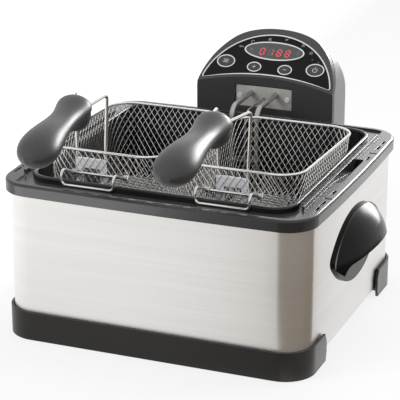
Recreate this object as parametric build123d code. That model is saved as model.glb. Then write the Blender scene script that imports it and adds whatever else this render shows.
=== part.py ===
from build123d import *
import math
import os

# Twin-basket deep fryer in its drain position.  Millimetres, +X right, +Y to the back, +Z up.
# The origin is on the floor under the middle of the housing.

# Housing shell: one wrapped sheet of stainless steel
body_width = 390.0
body_depth = 362.0
corner_radius = 35.0
sheet = 1.0
shell_bottom = 13.0
shell_top = 199.0

# Base mouldings, pads and bottom plate
foot_height = 37.4
foot_floor_gap = 1.0
foot_proud = 4.5
foot_gap = 1.2
foot_shelf_width = 24.0
foot_shelf_thickness = 4.0
foot_end = 105.0
foot_nose_cut = 6.0
foot_nose_low = 12.0
foot_nose_high = 26.0
foot_undercut = 3.0
pad_radius = 9.0
pad_height = 3.0
pad_boss_wall = 1.6
plate_thickness = 1.2
plate_clearance = 1.0
vent_length = 90.0
vent_width = 5.0
vent_pitch = 16.0
vent_count = 7

# Fasteners, gaps and the overrun of every cut
small_gap = 0.05
hole_gap = 0.25
tip_gap = 1.0
overcut = 1.0
tie_rod_radius = 2.0
tie_rod_x = 120.0
tie_head_radius = 4.2
tie_head_height = 3.0
screw_radius = 1.6
screw_head_radius = 3.4
screw_head_height = 2.0
base_screw_x = 60.0
boss_wall = 3.0

# Top rim moulding
rim_overhang = 4.0
rim_bow_front = 3.7
rim_bow_side = 4.5
rim_skirt_low = 189.4
rim_top = 204.4
rim_edge_round = 3.0
rim_border = 7.0
rim_fit = 0.3
ledge_top = 201.6
rim_boss_height = 22.0
rim_boss_cap = 3.0
rail_gap = 7.0
rail_thickness = 3.0
rail_top = 209.0
rail_front = -145.0
rail_back = 148.0
scoop_width = 10.0
scoop_front = -40.0
scoop_back = 55.0
scoop_flat = 12.0
scoop_depth = 10.8
scoop_wall = 2.0
groove_length = 18.0
groove_width = 3.0
groove_depth = 2.4
groove_inset = 5.5
groove_places = (-137.0, -115.0, -76.0, 60.0, 105.0, 126.0)
cross_groove_length = 10.0
cross_groove_places = (-96.0, 84.0)
front_groove_length = 15.0
front_groove_width = 2.0
front_groove_inset = 3.6
front_groove_places = (-102.0, -78.6, -55.2, -31.8, -8.4, 15.0, 38.4, 61.8, 85.2, 108.6, 132.0)

# Carry handles
hood_inset = 24.0
hood_radius = 62.0
hood_half_length = 100.0
hood_wall = 3.0
hood_y = 5.0
hood_z = 105.0
hood_mouth_low = 100.0
hood_mouth_slope = 28.0
hood_mouth_half_length = 77.0
hood_mouth_round = 10.0
handle_tip_z = 118.0
handle_plate_half_length = 95.0
handle_plate_rise = 43.0
handle_plate_fall = 48.0
handle_tip_round = 10.0
handle_plate_height = 6.5
handle_plate_wall = 2.5
handle_screw_spread = 55.0
handle_screw_z = 118.0

# Oil pot
pot_width = 334.0
pot_length = 317.0
pot_corner = 26.0
pot_wall = 1.5
pot_bottom = 84.0
pot_bottom_round = 12.0
lip_reach = 4.0
lip_height = 7.1
seat_gap = 0.3
pot_clearance = 1.5
level_mark_length = 44.0
level_mark_height = 1.6
level_marks = (128.0, 148.0)

# Control head
head_gap = 31.0
head_width = 194.0
head_depth = 74.0
head_bottom = 110.0
head_shoulder = 226.0
head_rise = 76.5
head_hollow = 11.0
head_back_round = 20.0
head_wall = 2.5
cover_lip = 8.0
panel_angle = 44.0
panel_set_back = 4.4
panel_z = 238.3

# Panel crescent, in the plane of the panel: u to the right, v up the slope
panel_tip_u = 91.0
panel_top_v = 75.0
panel_low_rise = 13.9
panel_tip_round = 2.0
panel_recess = 1.0
panel_proud = 0.2
trim_width = 1.8
trim_proud = 0.7
display_v = 50.6
display_width = 86.0
display_height = 29.0
ring_width = 2.0
ring_proud = 0.8
window_proud = 0.3
module_width = 56.0
module_height = 17.0
module_gap = 0.4
big_button_u = 64.0
big_button_v = 28.0
big_button_width = 26.0
big_button_height = 20.0
small_button_u = 22.0
small_button_v = 23.5
small_button_width = 20.5
small_button_height = 15.5
button_ring_width = 1.5
button_gap = 0.3
button_proud = 1.4
button_stem = 4.0
button_round = 0.5
button_travel = 0.8
button_overtravel = 0.2
switch_size = 6.0
switch_body = 3.2
lens_radius = 1.3
lens_places = ((56.0, 44.0), (65.5, 40.5))

# Boards inside the head
board_depth = 9.0
board_thickness = 1.6
board_half_width = 70.0
board_low_v = 12.0
board_high_v = 54.0
board_boss_radius = 3.0
board_boss_places = ((-44.0, 15.5), (44.0, 15.5), (-52.0, 47.0), (52.0, 47.0))
tiny_screw_radius = 1.1
tiny_head_radius = 2.2
tiny_head_height = 1.4
power_board_half_width = 52.0
power_board_low = 122.0
power_board_high = 198.0
power_board_gap = 19.0
power_boss_inset = 6.0
transformer_size = (38.0, 26.0, 30.0)
relay_size = (20.0, 16.0, 16.0)
terminal_size = (60.0, 10.0, 13.0)

# Cover screws, power inlet and safety switch
cover_screw_x = 68.0
cover_screw_low = 40.0
cover_screw_high = 112.0
cover_screw_length = 14.0
inlet_z = 219.0
inlet_width = 40.0
inlet_height = 24.0
inlet_body_depth = 18.0
inlet_wall = 4.0
inlet_flange = 3.0
inlet_flange_thickness = 2.0
inlet_pin_radius = 2.0
inlet_pin_spread = 7.0
inlet_pin_length = 11.0
switch_x = 40.0
switch_back = 38.0
interlock_post_radius = 3.0
interlock_post_height = 7.0
interlock_hole_gap = 1.0
interlock_width = 24.0
interlock_depth = 10.0
interlock_height = 17.5

# Heating element, probe and their plate
element_shift = -4.0
element_plate_width = 80.0
element_plate_height = 29.0
element_plate_z = 216.5
element_plate_thickness = 1.5
element_plate_proud = 0.5
element_plate_gap = 0.4
element_pad = 7.0
element_pad_margin = 4.0
element_screw_spread = 34.0
element_diameter = 7.0
element_spread = 17.5
element_exit_z = 222.0
element_down_gap = 9.0
element_z = 100.0
element_bend = 15.0
element_entry = 33.0
element_outer_x = 138.0
element_inner_x = 60.0
element_front_y = -125.0
element_middle_y = 75.0
element_tail = 10.0
terminal_radius = 1.5
terminal_length = 8.0
probe_diameter = 3.0
probe_exit_z = 215.5
probe_back = 4.0
probe_tip_z = 122.0
probe_bulb_radius = 3.0
probe_bulb_length = 40.0
clip_z = 150.0
clip_thickness = 2.0
clip_margin = 5.0
cutout_radius = 8.0
cutout_height = 9.0
cutout_drop = 12.0
lead_diameter = 2.4
lead_bend = 5.0

# Cradle on the back of the housing that carries the head
cradle_gap = 0.5
cradle_wall = 3.0
cradle_floor = 4.0
cradle_height = 30.0
cradle_plate_half_width = 75.0
cradle_plate_thickness = 4.0
cradle_plate_low = 70.0
cradle_plate_high = 150.0
cradle_rib_x = 60.0
cradle_rib_thickness = 6.0
cradle_round = 10.0
cradle_screw_x = 35.0
cradle_screw_low = 84.0
cradle_screw_high = 136.0

# Wire baskets, hung on the front lip of the pot
basket_width = 158.0
basket_length = 226.0
basket_corner = 33.0
basket_height = 95.0
basket_taper = 8.0
basket_x = 86.5
basket_set_back = 37.5
basket_lift = 23.0
hang_angle = 2.0
rim_wire = 3.4
net_thickness = 1.2
net_cell_width = 11.0
net_cell_height = 16.0
net_bar = 2.2
net_margin = 2.0
floor_cell = 12.0
left_post_shift = -14.0
left_grip_shift = -8.0
left_grip_sway = 0.05
right_post_shift = -3.0
right_grip_shift = -5.0
right_grip_sway = -0.025
bracket_width = 41.0
bracket_height = 35.0
bracket_leg = 9.0
bracket_bar = 13.0
bracket_drop = 8.0
bracket_thickness = 1.2
post_wire = 4.0
post_spread = 18.6
post_splay = 2.4
post_height = 72.0
post_tail = 9.0
post_bend = 6.0
arm_spread = 13.0
arm_step = 43.0
arm_drop = 2.0
arm_run = 8.0
arm_bend = 8.0
hook_wire = 3.4
hook_half_width = 34.0
hook_bar_overhang = 3.0
hook_bar_drop = 29.0
hook_arch = 20.0
hook_bend = 6.0
hook_gap = 0.3

# Basket grip: sections from the collar to the rounded end, as distance from the collar's
# back face, drop below the collar, width and height
grip_sections = (
    (0.0, 0.0, 32.0, 22.5),
    (8.5, 0.0, 44.0, 29.0),
    (28.0, 4.5, 38.0, 27.0),
    (62.0, 10.0, 38.0, 24.5),
    (100.0, 18.0, 49.0, 35.0),
    (123.0, 24.5, 47.0, 34.5),
    (136.0, 27.5, 28.0, 21.0),
    (142.0, 28.5, 12.0, 8.0),
)
grip_guard_radius = 20.0
grip_guard_back = 9.0
grip_guard_drop = 9.0

# Places worked out from the sizes above
half_width = body_width / 2
half_depth = body_depth / 2
shelf_middle_y = half_depth - foot_shelf_width / 2
shelf_under = shell_bottom - foot_shelf_thickness
plate_top = shell_bottom + plate_thickness
lip_low = ledge_top + seat_gap
lip_top = lip_low + lip_height
lip_half_width = pot_width / 2 + lip_reach
lip_half_length = pot_length / 2 + lip_reach
rail_inner = lip_half_width + rail_gap
scoop_inner = rail_inner + rail_thickness
head_front = half_depth + head_gap
head_back = head_front + head_depth
hollow_radius = ((head_width / 2) ** 2 + head_hollow ** 2) / (2 * head_hollow)
hollow_y = head_front + head_hollow - hollow_radius
panel = Plane(
    origin=(0, head_front + panel_set_back, panel_z),
    x_dir=(1, 0, 0),
    z_dir=(0, -math.sin(math.radians(panel_angle)), math.cos(math.radians(panel_angle))),
)
board_back_plane = panel.offset(-board_depth - board_thickness)
head_rear_wall = head_back - head_wall
power_board_y = head_rear_wall - power_board_gap - board_thickness
plate_face_y = head_front + head_hollow - element_plate_proud
plate_back_y = plate_face_y + element_plate_thickness
element_down_y = pot_length / 2 - pot_wall - element_down_gap
basket_y = basket_set_back - lip_half_length + basket_length / 2
basket_z = lip_top + basket_lift


def bar(x0, x1, y0, y1, z0, z1):
    """Block between two opposite corners."""
    middle = Pos((x0 + x1) / 2, (y0 + y1) / 2, (z0 + z1) / 2)
    return middle * Box(x1 - x0, y1 - y0, z1 - z0)


def rod(radius, start, end):
    """Round bar from one point to another."""
    along = Vector(*end) - Vector(*start)
    stand = (Align.CENTER, Align.CENTER, Align.MIN)
    return Plane(origin=start, z_dir=along) * Cylinder(radius, along.length, align=stand)


def screw(seat, tip, shank, head, head_height):
    """Screw whose head lies on the seat and whose shank reaches the tip."""
    along = (Vector(*tip) - Vector(*seat)).normalized()
    crown = Vector(*seat) - along * head_height
    return rod(head, tuple(crown), seat) + rod(shank, seat, tip)


def bent_wire(points, radii, diameter):
    """Round wire along straight runs joined by arcs."""
    path = FilletPolyline(*points, radius=radii)
    return sweep(Plane(origin=path @ 0, z_dir=path % 0) * Circle(diameter / 2), path=path)


def slab(width, length, radius, low, high):
    """Upright prism on a rounded rectangle."""
    return Pos(0, 0, low) * extrude(RectangleRounded(width, length, radius), high - low)


def body_slab(extra, low, high):
    """Upright prism on the shell's outline grown by extra."""
    return slab(body_width + 2 * extra, body_depth + 2 * extra, corner_radius + extra, low, high)


def four(x, y):
    """The four places that mirror one place about both middle planes."""
    return [(sx * x, sy * y) for sx in (-1, 1) for sy in (-1, 1)]


def pot_slab(extra, low, high):
    """Upright prism on the pot wall's outline grown by extra."""
    return slab(pot_width + 2 * extra, pot_length + 2 * extra, pot_corner + extra, low, high)


def side_profile(points, x0, x1):
    """Prism on a polygon of (y, z) points, from x0 to x1."""
    face = make_face(Polyline(*points, close=True))
    return Plane(origin=(x0, 0, 0), x_dir=(0, 1, 0), z_dir=(1, 0, 0)) * extrude(face, x1 - x0)


parts = {}

# Housing shell
handle_spots = [(hood_y + s * handle_screw_spread, handle_screw_z) for s in (-1, 1)]
cradle_spots = [(s * cradle_screw_x, z) for s in (-1, 1) for z in (cradle_screw_low, cradle_screw_high)]
shell = body_slab(0, shell_bottom, shell_top)
shell -= body_slab(-sheet, shell_bottom - overcut, shell_top + overcut)
for y, z in handle_spots:
    shell -= rod(screw_radius + hole_gap, (-half_width - overcut, y, z), (half_width + overcut, y, z))
for x, z in cradle_spots:
    shell -= rod(screw_radius + hole_gap, (x, 0, z), (x, half_depth + overcut, z))
parts["outer_shell"] = shell

# Base mouldings with a shelf that carries the shell and the bottom plate
ring = body_slab(foot_proud, foot_floor_gap, foot_height)
ring -= body_slab(foot_gap, shell_bottom, foot_height + overcut)
ring -= body_slab(foot_gap, 0, shelf_under)
ring -= body_slab(-foot_shelf_width, 0, foot_height + overcut)
diagonal = (corner_radius - foot_shelf_width / 2) * math.sqrt(0.5)
pad_spots = four(half_width - corner_radius + diagonal, half_depth - corner_radius + diagonal)
for x, y in pad_spots:
    ring += rod(pad_radius + pad_boss_wall, (x, y, foot_floor_gap), (x, y, shelf_under))
for x, y in pad_spots:
    ring -= rod(pad_radius + small_gap, (x, y, 0), (x, y, pad_height))
rod_spots = four(tie_rod_x, shelf_middle_y)
base_spots = four(base_screw_x, shelf_middle_y)
for x, y in rod_spots:
    ring -= rod(tie_rod_radius + hole_gap, (x, y, 0), (x, y, shell_bottom + overcut))
for x, y in base_spots:
    ring -= rod(screw_radius + small_gap, (x, y, 0), (x, y, shell_bottom + overcut))
foot_profile = [
    (-body_depth, 0),
    (-foot_end - foot_undercut, 0),
    (-foot_end, foot_nose_low),
    (-foot_end, foot_nose_high),
    (-foot_end - foot_nose_cut, foot_height + overcut),
    (-body_depth, foot_height + overcut),
]
parts["front_foot"] = ring & side_profile(foot_profile, -body_width, body_width)
back_profile = [(-y, z) for y, z in foot_profile]
parts["rear_foot"] = ring & side_profile(back_profile, -body_width, body_width)
parts["foot_pads"] = [rod(pad_radius, (x, y, 0), (x, y, pad_height)) for x, y in pad_spots]

# Bottom plate with its vent slots
plate = body_slab(-sheet - plate_clearance, shell_bottom, plate_top)
for x, y in rod_spots:
    plate -= rod(tie_rod_radius + hole_gap, (x, y, shell_bottom - overcut), (x, y, plate_top + overcut))
for x, y in base_spots:
    plate -= rod(screw_radius + hole_gap, (x, y, shell_bottom - overcut), (x, y, plate_top + overcut))
for step in range(vent_count):
    middle = (step - (vent_count - 1) / 2) * vent_pitch
    edges = (middle - vent_width / 2, middle + vent_width / 2)
    plate -= bar(-vent_length / 2, vent_length / 2, *edges, shell_bottom - overcut, plate_top + overcut)
parts["bottom_plate"] = plate
parts["base_screws"] = [
    screw((x, y, plate_top), (x, y, shelf_under), screw_radius, screw_head_radius, screw_head_height)
    for x, y in base_spots
]


# Top rim: bowed outline, recessed ledge between the rails, finger scoops and grooves beside them
def rim_outline(inset):
    """Rounded rectangle whose four sides bow outwards."""
    x = half_width + rim_overhang - inset
    y = half_depth + rim_overhang - inset
    sides = [
        ThreePointArc((-x, -y), (0, -y - rim_bow_front), (x, -y)),
        ThreePointArc((x, -y), (x + rim_bow_side, 0), (x, y)),
        ThreePointArc((x, y), (0, y + rim_bow_front), (-x, y)),
        ThreePointArc((-x, y), (-x - rim_bow_side, 0), (-x, -y)),
    ]
    face = make_face(sides)
    return fillet(face.vertices(), corner_radius + rim_overhang - inset)


rim = Pos(0, 0, rim_skirt_low) * extrude(rim_outline(0), rim_top - rim_skirt_low)
rim = fillet(rim.edges().group_by(Axis.Z)[-1], rim_edge_round)
rim -= body_slab(rim_fit, rim_skirt_low - overcut, shell_top)
recess = Pos(0, 0, ledge_top) * extrude(rim_outline(rim_border), rim_top)
rim -= recess & bar(-rail_inner, rail_inner, -body_depth, body_depth, ledge_top, 2 * rim_top)
scoop_top = rim_top + overcut
scoop_low = rim_top - scoop_depth
scoop_profile = [
    (scoop_front, scoop_top),
    (scoop_front, rim_top),
    (scoop_back - scoop_flat, scoop_low),
    (scoop_back, scoop_low),
    (scoop_back, scoop_top),
]
for side in (-1, 1):
    inner, outer = sorted((side * rail_inner, side * scoop_inner))
    rim += bar(inner, outer, rail_front, rail_back, shell_top, rail_top)
    near, far = sorted((side * scoop_inner, side * (scoop_inner + scoop_width)))
    pocket = (near - scoop_wall, far + scoop_wall, scoop_front - scoop_wall, scoop_back + scoop_wall)
    rim += bar(*pocket, scoop_low - scoop_wall, rim_top)
    rim -= side_profile(scoop_profile, near, far)
    groove_x = side * (half_width + rim_overhang - groove_inset)
    grooves = [(y, groove_width, groove_length) for y in groove_places]
    grooves += [(y, cross_groove_length, groove_width) for y in cross_groove_places]
    for y, across, along in grooves:
        groove = Pos(groove_x, y, rim_top - groove_depth) * extrude(Rectangle(across, along), rim_top)
        rim -= groove
for x in front_groove_places:
    bow = rim_bow_front * (1 - (x / (half_width + rim_overhang)) ** 2)
    y = front_groove_inset - half_depth - rim_overhang - bow
    slot = extrude(Rectangle(front_groove_length, front_groove_width), rim_top)
    rim -= Pos(x, y, rim_top - groove_depth) * slot
for x, y in rod_spots:
    boss_low = shell_top - rim_boss_height
    rim += rod(tie_rod_radius + boss_wall, (x, y, boss_low), (x, y, shell_top))
for x, y in rod_spots:
    rim -= rod(tie_rod_radius + small_gap, (x, y, boss_low - overcut), (x, y, shell_top - rim_boss_cap))
rim -= pot_slab(pot_clearance, rim_skirt_low, rail_top + overcut)
parts["top_rim"] = rim
parts["tie_rods"] = [
    screw(
        (x, y, shelf_under),
        (x, y, shell_top - rim_boss_cap - tip_gap),
        tie_rod_radius,
        tie_head_radius,
        tie_head_height,
    )
    for x, y in rod_spots
]


# Carry handles: a hood over a finger pocket, moulded in one with its hollow back plate
def spheroid(half_length, radius):
    """Ellipse turned about the handle's long axis."""
    middle = (half_width - hood_inset, hood_y, hood_z)
    page = Plane(origin=middle, x_dir=(0, 1, 0), z_dir=(0, 0, 1))
    half = Ellipse(half_length, radius) & Pos(0, -radius, 0) * Rectangle(2 * half_length, 2 * radius)
    return revolve(page * half, axis=Axis(middle, (0, 1, 0)))


def handle_prism(inset, height):
    """Prism off the shell's side on two arcs that meet in rounded tips, set in by inset."""
    tip = handle_plate_half_length - inset
    edges = [
        ThreePointArc((-tip, 0), (0, handle_plate_rise - inset), (tip, 0)),
        ThreePointArc((tip, 0), (0, inset - handle_plate_fall), (-tip, 0)),
    ]
    outline = make_face(edges)
    outline = fillet(outline.vertices(), handle_tip_round - inset)
    page = Plane(origin=(half_width, hood_y, handle_tip_z), x_dir=(0, 1, 0), z_dir=(1, 0, 0))
    return page * extrude(outline, height)


hood = spheroid(hood_half_length, hood_radius)
hood -= spheroid(hood_half_length - hood_wall, hood_radius - hood_wall)
hood &= handle_prism(0, 2 * hood_radius)
mouth_depth = 2 * hood_radius
mouth_rise = mouth_depth * math.tan(math.radians(hood_mouth_slope))
mouth_face = Polyline(
    (half_width, hood_mouth_low),
    (half_width + mouth_depth, hood_mouth_low + mouth_rise),
    (half_width + mouth_depth, 0),
    (half_width, 0),
    close=True,
)
mouth_page = Plane(origin=(0, hood_y, 0), x_dir=(1, 0, 0), z_dir=(0, -1, 0))
mouth = mouth_page * extrude(make_face(mouth_face), hood_mouth_half_length, both=True)
mouth_ends = mouth.faces().filter_by(Axis.Y)
mouth_edges = [face.edges().sort_by(Axis.Z)[-1] for face in mouth_ends]
hood -= fillet(mouth_edges, hood_mouth_round)
handle = hood + handle_prism(0, handle_plate_height)
handle -= handle_prism(handle_plate_wall, handle_plate_height - handle_plate_wall)
plate_face = half_width + handle_plate_height
for y, z in handle_spots:
    handle += rod(screw_radius + boss_wall, (half_width, y, z), (plate_face, y, z))
for y, z in handle_spots:
    hole_end = plate_face - handle_plate_wall / 2
    handle -= rod(screw_radius + small_gap, (half_width - overcut, y, z), (hole_end, y, z))
parts["right_carry_handle"] = handle
parts["left_carry_handle"] = Pos(0, hood_y, 0) * Rot(0, 0, 180) * Pos(0, -hood_y, 0) * handle
parts["handle_screws"] = [
    screw(
        (s * (half_width - sheet), y, z),
        (s * (plate_face - handle_plate_wall), y, z),
        screw_radius,
        screw_head_radius,
        screw_head_height,
    )
    for s in (-1, 1)
    for y, z in handle_spots
]

# Oil pot: drawn pan with a lip turned out and down
pot = fillet(pot_slab(0, pot_bottom, lip_top).edges().group_by(Axis.Z)[0], pot_bottom_round)
pot += pot_slab(lip_reach, lip_top - pot_wall, lip_top)
pot += pot_slab(lip_reach, lip_low, lip_top) - pot_slab(lip_reach - pot_wall, lip_low - overcut, lip_top)
cavity = pot_slab(-pot_wall, pot_bottom + pot_wall, lip_top + overcut)
pot -= fillet(cavity.edges().group_by(Axis.Z)[0], pot_bottom_round - pot_wall)
for z in level_marks:
    mark_y = pot_wall - pot_length / 2
    mark_x = level_mark_length / 2
    pot += bar(-mark_x, mark_x, mark_y - pot_wall / 2, mark_y + pot_wall / 2, z, z + level_mark_height)
parts["oil_pot"] = pot


# Control head covers
def head_block(skin):
    """Arched block with a hollow front and a sloping top, set in by skin all round."""
    half = head_width / 2 - skin
    low = head_bottom + skin
    outline = [
        Polyline((-half, head_shoulder), (-half, low), (half, low), (half, head_shoulder)),
        EllipticalCenterArc((0, head_shoulder), half, head_rise - skin, start_angle=0, arc_size=180),
    ]
    page = Plane(origin=(0, head_front, 0), x_dir=(1, 0, 0), z_dir=(0, -1, 0))
    block = page * extrude(make_face(outline), skin - head_depth)
    rear = block.faces().sort_by(Axis.Y)[-1]
    block = fillet(rear.edges().sort_by(Axis.Z)[1:], head_back_round - skin)
    block -= front_hollow(skin)
    return block - above_panel(-skin)


def front_hollow(depth):
    """Upright cylinder that hollows the head's front, grown by depth."""
    middle = Pos(0, hollow_y, head_bottom)
    return middle * Cylinder(hollow_radius + depth, 4 * head_rise + head_shoulder)


def above_panel(level):
    """Everything over the panel's plane moved up by level."""
    side = 2 * head_width
    return panel.offset(level) * Box(side, side, side, align=(Align.CENTER, Align.CENTER, Align.MIN))


def crescent(margin):
    """Panel outline between an arched top and a shallow lower arc, grown by margin."""
    tip = panel_tip_u + margin
    top = panel_top_v + margin
    edges = [
        ThreePointArc((-tip, -margin / 2), (0, top), (tip, -margin / 2)),
        ThreePointArc((tip, -margin / 2), (0, panel_low_rise - margin), (-tip, -margin / 2)),
    ]
    face = make_face(edges)
    return fillet(face.vertices(), panel_tip_round + margin / 2)


def on_panel(face, low, high):
    """Prism on a face drawn in the panel's plane, between two heights over it."""
    return panel.offset(low) * extrude(face, high - low)


def oval(u, v, width, height):
    """Ellipse in the panel's plane."""
    return Pos(u, v) * Ellipse(width / 2, height / 2)


button_sizes = {
    "menu_button": (-big_button_u, big_button_v, big_button_width, big_button_height),
    "plus_button": (-small_button_u, small_button_v, small_button_width, small_button_height),
    "minus_button": (small_button_u, small_button_v, small_button_width, small_button_height),
    "power_button": (big_button_u, big_button_v, big_button_width, big_button_height),
}

outer_head = head_block(0)
head_skin = outer_head - head_block(head_wall)
front_zone = above_panel(-cover_lip) + front_hollow(cover_lip)
front = head_skin & front_zone
rear = head_skin - front_zone

# Front cover: pad for the element plate, screw posts, board bosses, recess and holes
plate_left = element_shift - element_plate_width / 2
plate_right = element_shift + element_plate_width / 2
plate_low = element_plate_z - element_plate_height / 2
plate_high = element_plate_z + element_plate_height / 2
pad_back = plate_back_y + element_pad - element_plate_thickness
front += outer_head & bar(
    plate_left - element_pad_margin,
    plate_right + element_pad_margin,
    head_front,
    pad_back,
    plate_low - element_pad_margin,
    plate_high + element_pad_margin,
)
cover_spots = [
    (s * cover_screw_x, head_bottom + z) for s in (-1, 1) for z in (cover_screw_low, cover_screw_high)
]
post_root = hollow_y + math.sqrt((hollow_radius + head_wall / 2) ** 2 - cover_screw_x ** 2)
for x, z in cover_spots:
    front += rod(screw_radius + boss_wall, (x, post_root, z), (x, head_rear_wall, z))
for x, z in cover_spots:
    post_tip = head_rear_wall - cover_screw_length
    front -= rod(screw_radius + small_gap, (x, post_tip, z), (x, head_rear_wall + overcut, z))
for u, v in board_boss_places:
    front += on_panel(Pos(u, v) * Circle(board_boss_radius), -board_depth, -head_wall)
for u, v in board_boss_places:
    front -= on_panel(Pos(u, v) * Circle(tiny_screw_radius + small_gap), -board_depth - overcut, -head_wall)
front -= on_panel(crescent(trim_width), -panel_recess, 1)
for u, v, width, height in button_sizes.values():
    bore = 2 * button_ring_width
    front -= on_panel(oval(u, v, width - bore, height - bore), -board_depth, 1)
module_hole = Pos(0, display_v) * Rectangle(module_width + 2 * module_gap, module_height + 2 * module_gap)
front -= on_panel(module_hole, -board_depth, 1)
front -= bar(
    plate_left - element_plate_gap,
    plate_right + element_plate_gap,
    head_front - overcut,
    plate_back_y,
    plate_low - element_plate_gap,
    plate_high + element_plate_gap,
)
leg_x = [element_shift + s * element_spread for s in (-1, 1)]
tube_hole = element_diameter / 2 + small_gap
probe_hole = probe_diameter / 2 + small_gap
plate_screw_x = [element_shift + s * element_screw_spread for s in (-1, 1)]
element_plate = bar(plate_left, plate_right, plate_face_y, plate_back_y, plate_low, plate_high)
for x in leg_x:
    bore = rod(tube_hole, (x, head_front, element_exit_z), (x, pad_back + overcut, element_exit_z))
    front -= bore
    element_plate -= bore
probe_mouth = (element_shift, head_front, probe_exit_z)
bore = rod(probe_hole, probe_mouth, (element_shift, pad_back + overcut, probe_exit_z))
front -= bore
element_plate -= bore
for x in plate_screw_x:
    start = (x, head_front, element_plate_z)
    front -= rod(screw_radius + small_gap, start, (x, pad_back, element_plate_z))
    element_plate -= rod(screw_radius + hole_gap, start, (x, plate_back_y, element_plate_z))
parts["head_front_cover"] = front

# Rear cover: bosses for the power board, screw holes, inlet hole and interlock hole
power_spots = [
    (s * (power_board_half_width - power_boss_inset), z)
    for s in (-1, 1)
    for z in (power_board_low + power_boss_inset, power_board_high - power_boss_inset)
]
board_rear = power_board_y + board_thickness
for x, z in power_spots:
    rear += rod(board_boss_radius, (x, board_rear, z), (x, head_rear_wall, z))
for x, z in power_spots:
    rear -= rod(tiny_screw_radius + small_gap, (x, board_rear - overcut, z), (x, head_rear_wall, z))
for x, z in cover_spots:
    rear -= rod(screw_radius + hole_gap, (x, head_rear_wall - overcut, z), (x, head_back + overcut, z))
inlet_x = inlet_width / 2
inlet_low = inlet_z - inlet_height / 2
inlet_high = inlet_z + inlet_height / 2
rear -= bar(
    -inlet_x - small_gap,
    inlet_x + small_gap,
    head_rear_wall - overcut,
    head_back + overcut,
    inlet_low - small_gap,
    inlet_high + small_gap,
)
switch_y = head_front + switch_back
floor_top = head_bottom + head_wall
post_hole = interlock_post_radius + interlock_hole_gap
hole_low = (switch_x, switch_y, head_bottom - overcut)
rear -= rod(post_hole, hole_low, (switch_x, switch_y, floor_top + overcut))
parts["head_rear_cover"] = rear
parts["cover_screws"] = [
    screw(
        (x, head_back, z),
        (x, head_rear_wall - cover_screw_length + tip_gap, z),
        screw_radius,
        screw_head_radius,
        screw_head_height,
    )
    for x, z in cover_spots
]

# Panel, its bright border, and the rings, window and lenses set into it
overlay = on_panel(crescent(-small_gap), -panel_recess, panel_proud)
trim = on_panel(crescent(trim_width - small_gap), -panel_recess, trim_proud)
trim -= on_panel(crescent(0), -panel_recess - overcut, trim_proud + overcut)
overlay -= on_panel(oval(0, display_v, display_width, display_height), -board_depth, 1)
lip = 2 * small_gap
ring_face = oval(0, display_v, display_width - lip, display_height - lip)
inner = 2 * ring_width
ring_hole = oval(0, display_v, display_width - inner, display_height - inner)
parts["display_ring"] = on_panel(ring_face - ring_hole, -panel_recess, ring_proud)
window_face = oval(0, display_v, display_width - inner - lip, display_height - inner - lip)
parts["display_window"] = on_panel(window_face, -panel_recess, window_proud)
rings = []
for u, v, width, height in button_sizes.values():
    overlay -= on_panel(oval(u, v, width, height), -board_depth, 1)
    bore = 2 * button_ring_width
    ring_face = oval(u, v, width - lip, height - lip) - oval(u, v, width - bore, height - bore)
    rings.append(on_panel(ring_face, -panel_recess, ring_proud))
parts["button_rings"] = rings
lenses = []
for u, v in lens_places:
    overlay -= on_panel(Pos(u, v) * Circle(lens_radius), -board_depth, 1)
    lenses.append(on_panel(Pos(u, v) * Circle(lens_radius - small_gap), -panel_recess, window_proud))
parts["indicator_lenses"] = lenses
parts["control_panel"] = overlay
parts["panel_trim"] = trim

# Buttons and the switches that they press
switches = []
for name, (u, v, width, height) in button_sizes.items():
    play = 2 * (button_ring_width + button_gap)
    cap = on_panel(oval(u, v, width - play, height - play), -button_stem, button_proud)
    parts[name] = fillet(cap.faces().sort_by(Axis(panel.origin, panel.z_dir))[-1].edges(), button_round)
    plunger_top = -button_stem - button_travel - button_overtravel
    body_top = switch_body - board_depth
    body = on_panel(Pos(u, v) * Rectangle(switch_size, switch_size), -board_depth, body_top)
    plunger = on_panel(Pos(u, v) * Circle(switch_size / 4), -board_depth, plunger_top)
    switches.append(body + plunger)
parts["button_switches"] = switches
module_face = Pos(0, display_v) * Rectangle(module_width, module_height)
parts["display_module"] = on_panel(module_face, -board_depth, -panel_recess)

# Circuit boards with their screws
board_face = Pos(0, (board_low_v + board_high_v) / 2) * Rectangle(
    2 * board_half_width, board_high_v - board_low_v
)
control_board = on_panel(board_face, -board_depth - board_thickness, -board_depth)
board_screws = []
for u, v in board_boss_places:
    hole = Pos(u, v) * Circle(tiny_screw_radius + hole_gap)
    control_board -= on_panel(hole, -board_depth - board_thickness - overcut, 0)
    seat = board_back_plane.from_local_coords((u, v, 0))
    tip = panel.from_local_coords((u, v, -head_wall - tip_gap))
    board_screws.append(
        screw(tuple(seat), tuple(tip), tiny_screw_radius, tiny_head_radius, tiny_head_height)
    )
parts["control_board"] = control_board
power_board = bar(
    -power_board_half_width,
    power_board_half_width,
    power_board_y,
    board_rear,
    power_board_low,
    power_board_high,
)
for x, z in power_spots:
    hole_front = (x, power_board_y - overcut, z)
    power_board -= rod(tiny_screw_radius + hole_gap, hole_front, (x, board_rear + overcut, z))
    seat = (x, power_board_y, z)
    tip = (x, head_rear_wall - tip_gap, z)
    board_screws.append(screw(seat, tip, tiny_screw_radius, tiny_head_radius, tiny_head_height))
board_middle = (power_board_low + power_board_high) / 2


def component(size, x, low):
    """Block that stands on the front of the power board."""
    return bar(x - size[0] / 2, x + size[0] / 2, power_board_y - size[1], power_board_y, low, low + size[2])


terminal_low = power_board_high - terminal_size[2]
power_board += component(terminal_size, element_shift, terminal_low)
power_board += component(transformer_size, -transformer_size[0] / 2, board_middle - transformer_size[2])
power_board += component(relay_size, relay_size[0], board_middle - relay_size[2])
parts["power_board"] = power_board
parts["board_screws"] = board_screws

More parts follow.
